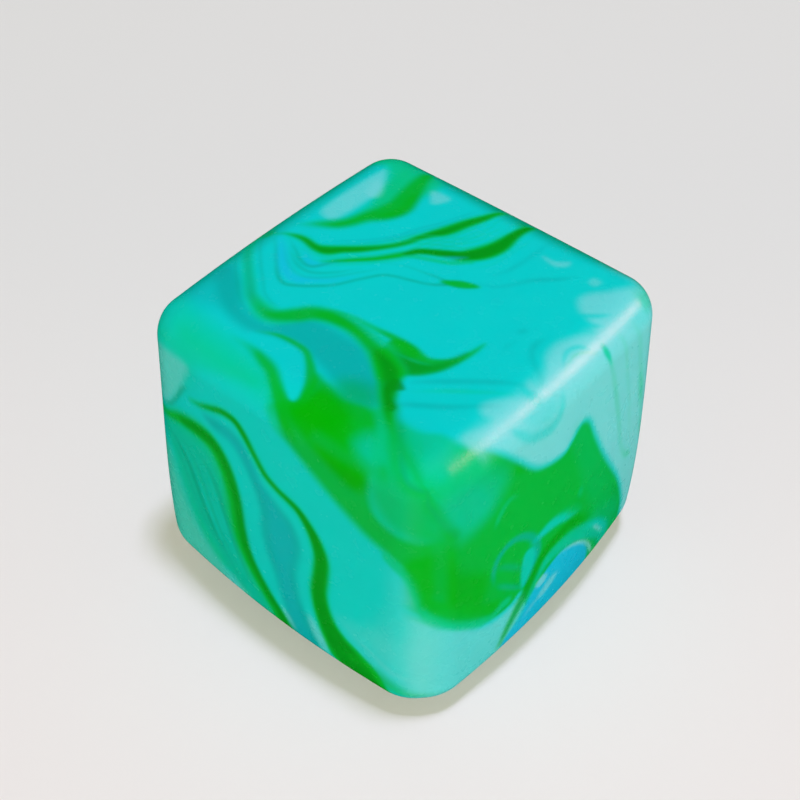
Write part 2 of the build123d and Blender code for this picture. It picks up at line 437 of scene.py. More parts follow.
def top_strokes(m):
    m.face = "top"
    # the stroke beside the painted reflection near the left edge
    m.band("jade", ((-19.4, 23, .8), (-17.4, 18.6, 2), (-15.6, 14.5, 2.6), (-16, 11, 2), (-16.8, 8, 1.3),
        (-18.2, 5.6, 1), (-20.4, 3.6, .7), (-22.6, 1.6, .1)), 2, .8)
    m.band("green", ((-16.6, 26, .6), (-16, 22.6, 1.3), (-14.9, 18.5, 1.8), (-14, 15, 2.1),
        (-14.7, 12.2, 1.9), (-16.2, 9.8, 1.2), (-17.2, 7, 1), (-18.4, 5.1, .9), (-20.2, 3.6, .7),
        (-22, 2, .35), (-23.4, .6, .1)), 1.8, .9)
    m.band("leaf", ((-14.6, 21, .1), (-13.7, 17.6, .8), (-13, 14.8, 1), (-13.8, 12.4, .8),
        (-15.6, 10.6, .4), (-16.8, 8, .1)), 1.5, .6)
    # long bands that narrow towards the left
    m.streaks("jade", BAND_1[1:-2], (1.7, 2.6, 3.6), .25, .5, .8)
    m.streaks("sea", BAND_1[1:-3], (-1.4, -2.1), .22, .55, .9)
    m.band("jade", widths(BAND_1, more=.35), .9, .55)
    m.band("green", BAND_1, .7, .95)
    m.band("deep", widths(BAND_1, times=.55), .8, .75)
    m.streaks("jade", BAND_2[1:-2], (-1.9, -2.9, -4), .25, .5, .8)
    m.band("jade", widths(BAND_2, more=.35), .9, .5)
    m.band("green", BAND_2, .7, .95)
    m.band("deep", widths(BAND_2[:10], times=.7), .8, .9)
    m.band("jade", ((3, 11.6, .4), (.8, 9.4, .45), (-1.5, 8.2, .45), (-4, 7, .4), (-5.6, 6, .2)), .6,
        .85)
    m.band("blue", ((1.8, 12, .15), (.4, 10.6, .3), (-1.2, 9.6, .12)), .6, .5)
    # painted shade: another dark teal band along the far rounded edge
    m.band("dark_teal_and_rim_shade", ((-24, 28.6, 1.6), (-10, 28.2, 2), (4, 28, 2.2), (16, 28.2, 2), (25, 28.8, 1)), 4, .7)
    # drop with a fine tail
    m.band("dark_teal_and_rim_shade", ((4, 6, .25), (1.6, 5.5, .22), (-1.4, 4.9, .2), (-4, 4.2, .15), (-6.4, 2.9, .1)), .45,
        .55)
    m.band("dark_teal_and_rim_shade", ((3.4, 4.9, .3), (1.4, 3.4, .24), (-1, 2.4, .24), (-3.6, 1.4, .24), (-5.2, .3, .24),
        (-7, -2.4, .24), (-9, -5.8, .24), (-11, -7.8, .26), (-13, -9.4, .28), (-15, -10.4, .28),
        (-17, -9.6, .26), (-19, -7.8, .24), (-21.4, -5.4, .2), (-23.4, -3.6, .1)), .5, .75)
    m.band("green", ((2.6, 5.2, .3), (4, 5.9, .75), (5.4, 6.7, .85), (6.8, 7.5, .5), (7.6, 8, .1)), .55,
        .95)
    # fine contour lines round the bend on the left
    m.band("blue", ((-24, -1.8, .2), (-22, -3.6, .5), (-20, -5.5, .75), (-18, -7.4, .8), (-16, -8.5, .8),
        (-14, -8.4, .8), (-12, -7, .6), (-10, -5.4, .5), (-8.4, -3.2, .35), (-7, -1, .1)), 1.4, .6)
    m.band("blue", ((-18, -2.6, .1), (-16.4, -4, .5), (-15, -4.4, .7), (-13.4, -3.6, .4), (-12, -2, .1)),
        1.2, .55)
    m.band("dark_teal_and_rim_shade", ((-11.6, -.6, .12), (-13, -2.8, .24), (-14.4, -4.9, .28), (-16.6, -5, .26),
        (-19, -3.6, .2), (-21.6, -2.2, .1)), .5, .7)
    m.band("dark_teal_and_rim_shade", ((-8.6, -.6, .1), (-10.6, -3.4, .22), (-13, -5.6, .26), (-15, -6.2, .28),
        (-17.4, -5.6, .22), (-20, -3.8, .1)), .5, .5)
    m.band("dark_teal_and_rim_shade", ((-6.4, 1.4, .1), (-7.6, -.6, .18), (-10.4, -4.6, .22), (-13, -7, .2),
        (-15.4, -7.4, .2), (-18, -6.4, .18), (-21, -4.2, .1)), .45, .4)
    # faint lines over the middle
    m.band("sea", ((9.2, 24, .2), (9, 19, .35), (8.4, 14, .35), (7.2, 11, .1)), .9, .45)
    m.band("sea", ((17.4, 20, .1), (15.4, 17.4, .4), (12.4, 14.4, .4), (11, 12, .35), (9, 9.4, .3),
        (5.4, 7.8, .1)), .9, .5)
    m.band("sea", ((18.4, 5.4, .1), (18, 4.4, .5), (17.4, 3.4, .1)), 1, .4)
    m.band("jade", ((6.6, 24, .1), (6.4, 18, .2), (5.6, 13.4, .2), (3.8, 10, .1)), .6, .35)
    # crescent over the main band
    m.band("jade", ((-7, -11.4, .2), (-4.6, -9.9, .4), (-1.8, -9.3, .5), (2, -9, .55), (5, -8.7, .6),
        (8, -8.7, .7), (10.6, -9.2, .8)), .8, .85)
    m.band("green", ((-2, -9.4, .1), (1.4, -9.1, .25), (4.4, -8.8, .5), (6.6, -9, .8), (9, -9.6, 1.1)),
        .9, .85)
    m.patch("green", ((6.4, -8.3), (8.6, -8.1), (11, -8.7), (13, -7.7), (14.3, -6), (15, -3.8),
        (15.6, -1.2), (15.8, -4), (15.3, -7.4), (14.4, -10), (13, -12.1), (11.4, -13.5), (10.6, -14.4),
        (7, -13.4), (4.6, -12.4), (5.4, -11.2), (5, -9.6)), .9, .92)
    m.patch("deep", ((7.6, -10.8), (10.6, -10.2), (12.6, -9.4), (14.2, -7), (14.9, -4.6), (14.6, -8.6),
        (13, -11.6), (11, -13.2), (8, -13), (5.6, -12.2)), 2, .75)
    m.band("jade", ((-3, -10.2, .2), (0, -10.1, .35), (3, -10.1, .45), (5.4, -10.4, .3), (7, -11, .15)),
        .7, .7)
    m.band("jade", ((6.4, -11.1, .12), (9, -10.7, .22), (11, -10.3, .2), (12.6, -9.6, .1)), .4, .5)
    # main band
    m.band("jade", widths(MAIN_BAND[:7], times=.7) + [(-8, -13.6, .2)], 1.8, .65)
    m.band("dark_teal_and_rim_shade", widths(MAIN_BAND[:7], times=.35) + [(-8, -13.6, .1)], 1.4, .8)
    m.streaks("dark_teal_and_rim_shade", MAIN_BAND[:7], (2, -1.9), .2, .5, .9)
    m.band("jade", ((-17, -15.2, .2),) + MAIN_BAND[5:], 1.9, .75)
    m.band("green", ((-17.4, -15, .1), (-14.6, -16.4, .45), (-11.6, -16.5, .9)) + MAIN_BAND[7:], 1.7,
        .88)
    m.band("leaf", ((-7, -12.4, .3), (-4.8, -11.3, .8), (-2, -11, .7), (.6, -11.2, .5), (3, -11.8, .3)),
        1, .6)
    m.band("green", ((6.4, -12.7, 1.4), (9.2, -14.4, 1.9), (11, -16.6, 1.6), (12.6, -18.6, 1.2),
        (14.4, -20.4, .8), (16, -22, .5), (17.4, -23.6, .1)), 1.3, .9)
    m.band("green", ((13.4, -20, .2), (16, -22, .6), (19.4, -23.8, .7), (22.6, -25.8, .7),
        (25.6, -28, .7), (29, -31, .4)), 2, .7)
    m.band("deep", ((2, -11.9, .1), (5.4, -12.6, .5), (8.8, -14, 1.1), (10.4, -15.6, 1), (12, -17.6, .8),
        (13.6, -19.6, .6), (15.2, -21.2, .3), (16.6, -22.8, .1)), 1.3, .8)
    m.patch("deep", ((10.6, -14.9), (11.8, -14.8), (13.2, -15.7), (12.4, -16.6), (12.3, -17.8),
        (14.6, -19), (14.2, -20), (11, -17.6)), .5, .85)
    m.band("jade", ((14, -21.6, .2), (16, -23.6, .7), (17, -26, 1), (18, -29, 1.2)), 1.6, .6)
    # tongue of bright cyan between two green lines
    m.patch("cyan", ((-11.5, -21.2), (-8, -20.2), (-5, -19.6), (-2.6, -19.6), (-.6, -20.8), (1, -22.4),
        (2.2, -24.4), (2.4, -26.4), (1.6, -27.2), (.2, -26.2), (-1.8, -24.6), (-4, -23.2), (-8, -22.6)),
        .9, .95)
    m.band("green", ((-11, -20.4, .1), (-8, -19, .35), (-5, -18.6, .45), (-2.6, -18.8, .5),
        (-.8, -19.9, .6), (1, -21.4, .8), (2.4, -23, .9), (3.2, -25, .8)), .7, .9)
    m.band("green", ((-13, -23.4, .1), (-9, -23.3, .5), (-6, -23.9, .9), (-3.8, -24.6, 1),
        (-2, -26, 1.1), (-.6, -27.6, 1.2), (.8, -29.8, 1.2), (2.4, -32, .9), (5, -34, .3)), 1.4, .9)


def front_grounds(m):
    m.face = "front"
    m.patch("jade", ((-40, 40), (40, 40), (40, -40), (-40, -40)), .5, .12)
    m.patch("jade", ((-36, 25), (-24, 24.4), (-17, 23.8), (-12, 25.4), (-8, 26.8), (-4, 28.6), (-4, 36),
        (-36, 36)), 3, .38)
    m.patch("jade", ((-26, 26), (-17, 25), (-17, 20), (-24, 12), (-27, 14)), 4, .25)
    # teal fan at lower left
    m.patch("jade", ((-25.5, 8), (-22, 8.6), (-14, 9), (-9.5, 7.6), (-7, 2), (-5.4, -4), (-3, -11),
        (.6, -18), (2, -25), (-6, -25), (-9, -19), (-12.4, -17.8), (-15, -14.6), (-17.4, -10.6),
        (-20, -4.4), (-22, 1)), 3, .62)
    m.patch("sea", ((-24, 8), (-12, 8), (-8.6, 4), (-6.6, -3), (-4.4, -9), (-1, -17), (-2, -24),
        (-7, -21), (-12, -15), (-17, -9), (-21, 0)), 3.5, .25)
    m.patch("frost_and_reflection", ((-36, 5), (-25, 1), (-22.6, -3), (-20.4, -8), (-17.6, -13), (-14, -17),
        (-11, -19.6), (-8, -21), (-6, -24), (-8, -36), (-36, -36)), 4.5, .42)
    m.patch("jade", ((-36, 6), (-24, 2), (-18, -8), (-10, -20), (-20, -30), (-36, -36)), 5, .35)
    m.patch("frost_and_reflection", ((-25.2, 22.4), (-21, 23.2), (-17.8, 22.8), (-18.6, 20), (-20, 16.6), (-22.6, 12.4),
        (-24.6, 11.6), (-25.4, 17)), 2, .42)
    # green shoulder at upper right
    m.patch("jade", ((-3.4, 36), (-2, 28), (-.6, 24), (1, 22.4), (4, 20.8), (8, 18), (12, 15.5),
        (17, 12.4), (21.6, 10.2), (24, 8), (25.8, 4), (27.2, 0), (28.6, -3), (36, -4), (36, 36)), 1.8,
        .7)
    m.patch("green", ((-1.5, 36), (.4, 28), (1.8, 23.4), (4.4, 21.3), (9, 18.4), (13, 15.8),
        (18.4, 12.6), (22.4, 10.8), (24.9, 8), (26.6, 3.6), (28, .5), (36, -2), (36, 13), (26, 15),
        (20, 17), (18, 22), (17, 36)), 2, .85)
    m.patch("green", ((17, 36), (18, 25), (20, 19), (25, 16), (36, 16), (36, 36)), 4, .5)
    m.patch("leaf", ((1, 36), (3, 27), (5.6, 24.8), (11.6, 21.6), (16, 20.2), (18, 23), (16, 26),
        (13.6, 29), (13, 36)), 2.6, .98)
    m.patch("leaf", ((25, 10.5), (27, 12), (36, 12), (36, 3), (28, 4), (26.4, 7)), 2.6, .7)
    # blue band between the two dark lines
    m.patch("sea", ((-14, 15.6), (-8.4, 16.4), (-5, 14.6), (-1.6, 10.2), (2, 7.6), (5, 5.4), (6.6, 1),
        (5.8, -5), (6.4, -11), (8.2, -17), (9.6, -25), (3.4, -25), (3, -17), (1.4, -9), (-1, -1.6),
        (-1.8, 5), (-4.6, 10.4), (-8, 13.8), (-12, 14.2)), 2.2, .88)
    m.patch("blue", ((-10, 15.2), (-6.6, 14.4), (-3, 11), (.4, 7.6), (4, 4.6), (5.4, 0), (4.6, -6),
        (5.4, -12), (7.6, -22), (4.8, -23), (2.4, -9), (.4, -1), (-.4, 6), (-4, 11.6)), 2.4, .16)
    # pale ground at lower right
    m.patch("frost_and_reflection", ((23, 8.4), (25, 6), (26.2, 2), (27.6, -1.2), (36, -4), (36, -24), (25, -22),
        (20, -19), (16, -14), (14, -9.8), (18, -8.6), (21, -5), (22.6, 0), (22.4, 5)), 5, .12)
    m.patch("frost_and_reflection", ((20, -11), (24, -8), (36, -8), (36, -22), (25, -19)), 6, .14)
    m.band("cyan", ((14, -8, .1), (18, -12, .3), (22, -15, .4), (27, -17.6, .2)), 1.4, .4)
    m.band("frost_and_reflection", ((15, -11, .1), (19, -14, .3), (23, -17, .4), (28, -19, .2)), 1.4, .35)
    # painted shade: darker jade band along the bottom rounded edge near the near corner
    m.band("jade", ((18, -28.4, .8), (24, -28, 2), (31, -28, 2.2)), 3, .5)


def front_strokes(m):
    m.face = "front"
    m.band("dark_teal_and_rim_shade", ((-25, 10.6, .1), (-22.4, 11.8, .35), (-20.6, 14.4, .4), (-19, 17.4, .4),
        (-17.8, 18.6, .1)), .7, .7)
    upper = ((-17, 16.4, .1), (-15, 16.9, .3), (-12.4, 18, .45), (-10, 18.9, .55), (-7.4, 18.9, .6),
        (-5.4, 17.4, .6), (-3, 14.6, .5), (-.8, 12.2, .5), (1.8, 10.8, .5), (4, 10.1, .55),
        (6, 9.2, .65), (8, 7.2, .85), (9.6, 4.6, 1.1), (10.5, 1.6, 1.3), (10.4, -2, 1.35),
        (10.1, -6, 1.45), (10.6, -10, 1.6), (11.6, -13.4, 1.9), (13, -16.4, 2.6), (15, -19.4, 3.6),
        (17.5, -23, 4), (19, -30, 4))
    m.band("jade", widths(upper, more=.5), 1.2, .6)
    m.band("green", widths(upper, times=1.1), .9, .95)
    m.band("deep", widths(upper, times=.8), 1, .85)
    m.band("green", ((14, -19, .6), (18, -18.6, 1.2), (21.4, -20.4, 1.5), (25, -22.4, 1.2),
        (29, -23, .8), (34, -23, .1)), 3, .65)
    lower = ((-25, 8.2, .1), (-22.4, 9.2, .35), (-19.6, 10.3, .8), (-16, 11, 1.2), (-13, 10.9, 1.35),
        (-10.8, 9.7, 1.3), (-9, 7.4, 1.3), (-7.6, 4.4, 1.3), (-6.6, 1, 1.35), (-6, -3, 1.3),
        (-5.2, -7, 1.2), (-3.8, -10.6, 1.1), (-2, -14, 1.05), (0, -17.6, 1.1), (1.6, -21, 1.3),
        (2.6, -27, 1.6))
    m.band("jade", [(x - .7, z - .3, w + 1.2) for x, z, w in lower], 2.6, .65)
    m.band("green", [(x - .2, z, w + .45) for x, z, w in lower], 1.6, .92)
    m.band("deep", [(x + .3, z + .1, w * .75) for x, z, w in lower[2:]], 1.3, .75)
    m.band("cyan", ((-12, 13, .1), (-8.6, 11.6, .4), (-6.4, 8, .5), (-5, 3, .6), (-4, -3, .6),
        (-3, -7.4, .5), (-1, -12, .3)), 1.2, .5)
    # arcs inside the fan
    for shift, width, weight in ((0, .5, .8), (-2.2, .25, .5), (-4, .4, .7), (-7.4, .6, .75),
            (-10, .35, .5)):
        m.band("dark_teal_and_rim_shade", ((-17 + shift, 6.2, .1), (-13.6 + shift, 4.6, width * .7),
            (-11 + shift * .9, 1, width), (-9.4 + shift * .8, -4, width), (-7.6 + shift * .7, -9, width),
            (-5.4 + shift * .55, -14, width * .7), (-4 + shift * .5, -18, .1)), 1.2, weight * .95)
    for shift in (-1.2, -3, -5.6):
        m.band("cyan", ((-16 + shift, 5.4, .1), (-12.8 + shift, 3.4, .3), (-10.6 + shift * .9, -1, .4),
            (-8.6 + shift * .8, -6, .5), (-6.8 + shift * .7, -11, .4), (-5 + shift * .6, -16, .1)), 1.4,
            .6)
    m.band("green", ((-9.4, 6, .1), (-9.2, 2, .5), (-8.4, -3, .6), (-6.8, -8, .5), (-5, -12, .1)), 1.4,
        .3)
    m.band("frost_and_reflection", ((8, -13, .1), (8.6, -16, .8), (9.6, -19, 1), (10.4, -22, .6)), 1.4, .4)
    m.band("frost_and_reflection", ((2, -16, .1), (3, -18.4, .6), (4, -21, .5)), 1.2, .35)


def right_grounds(m):
    m.face = "right"
    m.patch("frost_and_reflection", ((-40, 40), (40, 40), (40, -40), (-40, -40)), .5, .8)
    m.patch("cyan", ((-40, 6), (-8, -6), (-8, -34), (-40, -34)), 5, .42)
    edge = ((-19, 31), (-17.4, 28.4), (-15, 25.4), (-12, 21.8), (-10, 19.5), (-8, 17), (-6, 15.2),
        (-3, 14), (0, 13.6), (2, 14.6), (3.5, 15.8), (5, 16.3), (6.4, 15), (7.6, 11.5), (9.5, 6.4),
        (11.5, 2), (13.5, -2), (15.5, -6), (17.4, -11), (18.8, -15.6), (19.4, -19), (20, -26),
        (19.6, -34))
    m.band("cyan", [(y, z, .9) for y, z in edge], 1.1, .9)
    low = ((-36, 1.6), (-28.5, -1.6), (-24.6, -4.2), (-21, -6.8), (-18, -9.6), (-15, -10.8),
        (-12, -10.6), (-9.6, -9.4))
    m.band("cyan", [(y, z, 1.2) for y, z in low], 1.6, .9)
    m.patch("green", ((-40, 40), (-22, 34)) + edge + ((8, -36), (-2, -34), (-6, -24),
        (-8.4, -14)) + low[::-1] + ((-40, 2),), 1, 1)
    m.patch("jade", ((-22, 20), (-8, 17), (0, 13.6), (5, 16.3), (9.5, 6.4), (15.5, -6), (19.4, -19),
        (19.6, -34), (-8, -30), (-12, -11), (-22, -6)), 2, .15)
    m.patch("jade", ((2, 15), (6, 16), (11, 3), (17, -11), (20, -24), (12, -18), (7, -4)), 3, .22)
    m.patch("jade", ((-40, 40), (-19, 34), (-15.6, 25), (-12.6, 20.6), (-13.4, 17.4), (-17, 14),
        (-22, 13), (-26, 17), (-30, 15), (-40, 17)), 5, .8)
    m.patch("jade", ((-40, 3), (-27, 1), (-21, -4.6), (-17.6, -8), (-18, -10.4), (-22, -7.6),
        (-28, -3.6), (-40, 0)), 1.8, .6)
    m.patch("cyan", ((-36, 27), (-27, 24), (-20, 23), (-16, 18.6), (-17, 15), (-22, 15), (-28, 19),
        (-36, 20)), 5, .22)
    m.patch("leaf", ((-36, 12), (-25, 10.6), (-22, 6), (-17, 1), (-18.6, -5.4), (-22, -2.4), (-27, 2),
        (-36, 4)), 3, .7)
    m.patch("jade", ((5, -11), (9, -8), (13, -10), (17, -13), (18.8, -19), (19, -34), (8, -34)), 4, .35)
    m.band("leaf", ((-25.6, 17, .1), (-24, 15.6, 1), (-23, 14.4, .1)), 1.6, .5)
    m.band("green", ((-30, 28, .3), (-27.6, 23.4, .7), (-25.4, 18.6, .8), (-23.8, 13.8, .6),
        (-22.8, 9, .2)), 2.2, .65)
    # painted shade: darker jade band along the bottom rounded edge near the near corner
    m.band("jade", ((-31, -28, 2.2), (-22, -28, 1.8), (-15, -28.4, .6)), 3, .5)


def right_strokes(m):
    m.face = "right"
    # pale field: bowl-shaped wisp, drop and long hanging lines
    m.band("cyan", ((-10.6, 27.4, .3), (-9.6, 25.2, .7), (-7.6, 22.9, .9), (-5, 21.8, 1),
        (-2.8, 21.4, 1), (-1, 22.4, .7), (.4, 25, .5), (1, 27.6, .1)), 1.3, .6)
    m.patch("cyan", ((-8, 27), (-6, 23.6), (-3, 22.6), (-1, 24), (-.6, 27), (-4, 28.4)), 3, .35)
    m.band("cyan", ((-4.6, 32, .5), (-4.2, 29, .9), (-4, 27.6, .7), (-4, 26.4, .1)), 1.2, .8)
    m.band("cyan", ((11.6, 29.5, .1), (11.7, 27.4, .45), (11.9, 25.4, .65), (12.1, 23.6, .3),
        (12.6, 21, .1)), .8, .95)
    m.band("jade", ((11.7, 28, .1), (11.8, 26, .4), (12, 24.2, .35), (12.4, 21.6, .1)), .8, .8)
    m.band("jade", ((12.2, 24, .2), (12.8, 20.6, .4), (13.6, 16.6, .5), (14.4, 12, .5), (15.2, 7, .45),
        (16, 2, .4), (17.4, -1.6, .5), (19, -3.4, .6), (20.4, -5.4, .1)), 1.3, .48)
    m.band("jade", ((15.4, 28.5, .1), (16.2, 24, .35), (17, 18, .35), (18, 11, .3), (18.6, 5, .3),
        (19.2, 0, .1)), 1.1, .35)
    m.band("jade", ((19, 27, .1), (20.4, 22, .4), (21.2, 16, .45), (22, 10, .8), (22.6, 4, .4),
        (23.4, -1, .6), (26, -5, .6), (30, -9, .2)), 1.5, .5)
    m.patch("cyan", ((16, 36), (19, 26), (23, 24), (28.5, 27), (36, 30)), 3, .3)
    m.patch("jade", ((23, 27), (26, 25.4), (36, 26), (36, 34), (24, 36)), 3, .45)
    m.band("frost_and_reflection", ((17.6, 24, .2), (18.8, 14, .8), (20, 4, 1.2), (22, -6, 1.4), (25, -14, 1.6),
        (28, -20, 1.2)), 3, .35)
    # swirl in the green
    m.band("jade", ((-15.6, 10.2, .1), (-15, 11.6, .45), (-13.8, 13.2, .5), (-12.2, 14, .4),
        (-10.6, 13.2, .1)), .9, .6)
    m.band("jade", ((-22, 12, .1), (-20.6, 17, .5), (-21.4, 22, .5), (-24, 27, .4)), 2, .4)
    swirl = ((-15.8, -2, .2), (-15.9, .8, .45), (-15, 3.2, .55), (-13, 4.5, .6), (-10.6, 4.2, .65),
        (-8.2, 2.4, .7), (-6.6, -.4, .75), (-6.4, -3.4, .7), (-7.4, -6.2, .6), (-9, -8.4, .3))
    m.patch("cyan", ((-9.4, -1), (-7.4, -.6), (-6.6, -3), (-7.4, -6.4), (-9.4, -8.8), (-10, -5.6)), 1,
        .7)
    m.band("sea", swirl, .9, .55)
    m.band("sea", ((-15.4, 1.4, .1), (-14, .4, .45), (-12.4, -1, .5), (-10.8, -2.6, .45),
        (-9.4, -4.2, .2)), 1.2, .36)
    m.band("sea", ((-15.6, -2.4, .1), (-14.2, -4, .4), (-12.4, -5.8, .45), (-10.6, -7.6, .4),
        (-9.2, -9, .1)), 1, .45)
    m.band("cyan", ((-8, .4, .2), (-5.6, .6, .7), (-3, .7, 1), (-.6, -.1, .8), (1.6, -1.6, .5),
        (4, -2.6, .1)), 1.4, .8)
    m.band("jade", ((-4.6, 1.2, .3), (-1, .8, .8), (2.4, -1, .8), (5, -3, .2)), 2, .5)
    m.band("jade", ((4.6, 3.4, .1), (4.2, 1.8, .6), (4.6, .2, .1)), 1.2, .5)
    # lens of blue under two arcs
    m.patch("blue", ((-12.4, -22), (-9.8, -17.6), (-7.2, -13), (-4.6, -10.4), (-2, -9), (.4, -8.8),
        (3.4, -10.4), (6.2, -13), (7.6, -15.4), (8.8, -18.6), (9, -23), (6, -27), (-8, -27)), 1, .95)
    m.band("cyan", ((-9.6, -19, .3), (-7.4, -12, .7), (-5.6, -8.6, .9), (-3.4, -7, 1.1), (0, -7, 1.3),
        (3.6, -8.4, 1.5), (7.4, -11, 1.7), (10.6, -14.2, 1.7), (13.6, -18.6, 1.5), (15, -24, 1)), 2, .6)
    m.band("jade", ((-9.6, -19, .3), (-7.4, -12, .6), (-5.6, -8.6, .8), (-3.4, -7, .9), (0, -6.8, 1),
        (3.6, -8, 1.1), (7.4, -10.6, 1.3), (11, -14, 1.3), (14, -18.6, 1.2), (15, -24, 1)), 1.8, .55)
    m.band("cyan", ((5, -8.6, .1), (8.4, -10.6, .6), (11, -13.4, .8), (13.4, -17, .7), (15, -21, .4)),
        1.6, .6)
    arc = ((-13, -21, .4), (-11.8, -17, .7), (-9.6, -12.6, 1), (-7.5, -8.8, 1.1), (-5.9, -5.8, 1.1),
        (-4, -4.2, 1.1), (-1.4, -3.6, 1.1), (1.4, -3.5, 1.1), (4, -4.8, .8), (6.4, -7, .3))
    m.band("green", widths(arc, more=.2), 1.6, .8)
    m.band("deep", widths(arc, times=.8), 1.8, .5)
    m.band("dark_teal_and_rim_shade", ((-11.8, -18.4, .3), (-10.8, -15, .4), (-9, -11.6, .3), (-8, -9.6, .1)), 1, .5)
    m.band("frost_and_reflection", ((-.8, -8.9, .1), (1.6, -9.6, .2), (3.6, -10.7, .3), (6, -12.8, .3), (8, -15.4, .25),
        (9.4, -18, .3), (10.6, -21, .2)), .5, .85)
    m.band("frost_and_reflection", ((8.8, -11.4, .1), (10, -13, .25), (11.6, -15.4, .25), (13.4, -18.2, .1)), .5, .7)
    m.patch("frost_and_reflection", ((-6, -11.2), (-4.6, -10.4), (-3.4, -11.6), (-4.2, -12.8), (-5.6, -12.6)), .9, .65)
    m.patch("frost_and_reflection", ((-5, -15.6), (-2.4, -13.4), (-.6, -14), (-1.6, -15.8), (-4, -17)), 1.4, .5)
    m.band("frost_and_reflection", ((-8, -19, .1), (-6.4, -17, .5), (-4.6, -16, .1)), 1.2, .4)


def back_face(m):
    m.face = "back"
    m.patch("jade", ((-36, 36), (-12, 36), (-15, 22), (-20, 12), (-25, 4), (-36, 2)), 3, .5)
    m.patch("frost_and_reflection", ((36, 36), (20, 36), (17, 22), (20, 10), (17, -2), (20, -14), (26, -22), (36, -26)),
        2, .6)
    m.patch("sea", ((-18, 14), (-8, 17), (0, 12), (4, 4), (2, -6), (-6, -3), (-12, 4), (-19, 6)), 3, .6)
    m.patch("green", ((-36, -6), (-24, -4), (-14, -10), (-4, -14), (6, -12), (12, -18), (14, -36),
        (-36, -36)), 1.6, .9)
    m.patch("leaf", ((-30, -12), (-20, -12), (-10, -19), (0, -21), (4, -30), (-20, -36), (-34, -26)), 4,
        .8)
    m.patch("frost_and_reflection", ((8, 6), (12, 2), (14, -6), (10, -9), (6, -4)), 2, .45)
    m.band("green", ((-31, -6, 1.2), (-26, -6.2, 1.2), (-20, -7.6, .8)), 1.2, .95)
    ribbon = ((-1.6, 32, .6), (-3, 26, .9), (-6, 21, 1.2), (-11, 17.4, 1.3), (-17, 15, 1.4),
        (-22, 12, 1.2), (-26, 9.4, 1), (-30, 8, 1))
    m.band("jade", widths(ribbon, more=.7), 1.4, .6)
    m.band("green", ribbon, 1, .95)
    m.band("deep", widths(ribbon, times=.5), .9, .8)
    ribbon = ((3.6, 32, 1), (5, 26, 1.4), (8.4, 21, 1.5), (12, 16, 1.2), (13, 10, 1), (10.6, 4.6, .9),
        (7.4, .4, 1), (4.6, -4.4, 1.3), (1, -8.4, 1.3), (-5, -11, 1.4), (-11, -12, .8))
    m.band("jade", widths(ribbon, more=.7), 1.4, .6)
    m.band("green", ribbon, 1, .95)
    m.band("deep", widths(ribbon[:-2], times=.6), .9, .8)
    m.streaks("jade", ribbon[1:], (2.4, 3.6, 5), .3, .5, .8)
    m.streaks("sea", ribbon[1:-1], (-2.4, -3.4), .3, .5, .8)
    m.band("blue", ((-14, 12.6, .2), (-8, 14, .8), (-2, 11, 1), (1.4, 5, .9), (.6, -2, .5),
        (-3, -6, .1)), 1.6, .6)
    m.band("jade", ((30, 20, .3), (25, 16, .5), (23, 9, .6), (25, 2, .5), (29, -3, .3)), 1.2, .5)
    m.band("jade", ((22, 30, .3), (21, 22, .5), (24.6, 14, .3), (27, 8, .1)), 1.2, .4)
    m.band("cyan", ((15, -20, .3), (18, -15, .8), (24, -13, .9), (31, -14, .6)), 1.6, .6)
    m.band("dark_teal_and_rim_shade", ((-20, -2, .1), (-14, -4, .3), (-8, -2, .3), (-4, 2, .1)), .8, .5)


def left_face(m):
    m.face = "left"
    m.patch("sea", ((36, -2), (20, 2), (8, -2), (-4, 4), (-16, 2), (-28, 8), (-36, 8), (-36, 20),
        (-18, 15), (-4, 14), (8, 10), (20, 14), (36, 10)), 3, .5)
    m.patch("frost_and_reflection", ((-27, 25), (-20, 23), (-18, 16), (-22, 10), (-30, 12), (-34, 20)), 1.6, .5)
    m.patch("frost_and_reflection", ((-36, -4), (-24, -2), (-18, -10), (-10, -18), (-12, -36), (-36, -36)), 2, .5)
    m.patch("frost_and_reflection", ((12, -4), (20, -2), (24, -10), (20, -16), (13, -12)), 1.6, .45)
    m.patch("green", ((36, -12), (26, -16), (18, -20), (8, -19), (0, -23), (-4, -36), (36, -36)), 1.4,
        .9)
    m.patch("leaf", ((36, -18), (22, -22), (8, -24), (8, -36), (36, -36)), 4, .7)
    ribbon = ((-26.4, 7.4, .2), (-24, 7.4, .9), (-20, 8.4, 1.3), (-15, 7, 1.3), (-11.4, 2.4, 1.4),
        (-8, -3.4, 1.5), (-3, -8, 1.5), (4, -9.4, 1.3), (11, -7, 1.3), (17, -3, 1.4), (23, -3.4, 1.4),
        (30, -6, 1.2))
    m.band("jade", widths(ribbon, more=.8), 1.5, .6)
    m.band("green", ribbon, 1.1, .95)
    m.band("deep", widths(ribbon, times=.5), .9, .8)
    m.streaks("jade", ribbon, (3, 4.4), .3, .5, .8)
    m.streaks("dark_teal_and_rim_shade", ribbon[2:-2], (-2.6, -3.6, -4.8), .25, .5, .8)
    ribbon = ((-3, 31, 1.2), (-5, 25, 1.3), (-10, 20.6, 1.2), (-16, 19, .9), (-21, 20.6, .6),
        (-24, 23, .1))
    m.band("jade", widths(ribbon, more=.5), 1.3, .6)
    m.band("green", ribbon, .9, .9)
    ribbon = ((-1, 30, .3), (2, 24, .7), (8, 20, .8), (15, 19.4, .8), (21, 16, .9), (26, 11, 1),
        (30, 8, 1))
    m.band("green", ribbon, .9, .9)
    m.band("deep", widths(ribbon, times=.5), .8, .8)
    m.band("blue", ((-24, 3, .1), (-17, 3, .6), (-13, -2, .8), (-9, -8, .8), (-3, -13, .8), (5, -15, .6),
        (12, -13, .1)), 1.6, .55)
    m.band("blue", ((-10, 12, .1), (0, 9, .8), (8, 6, .8), (16, 8, .7), (24, 7, .1)), 2, .5)


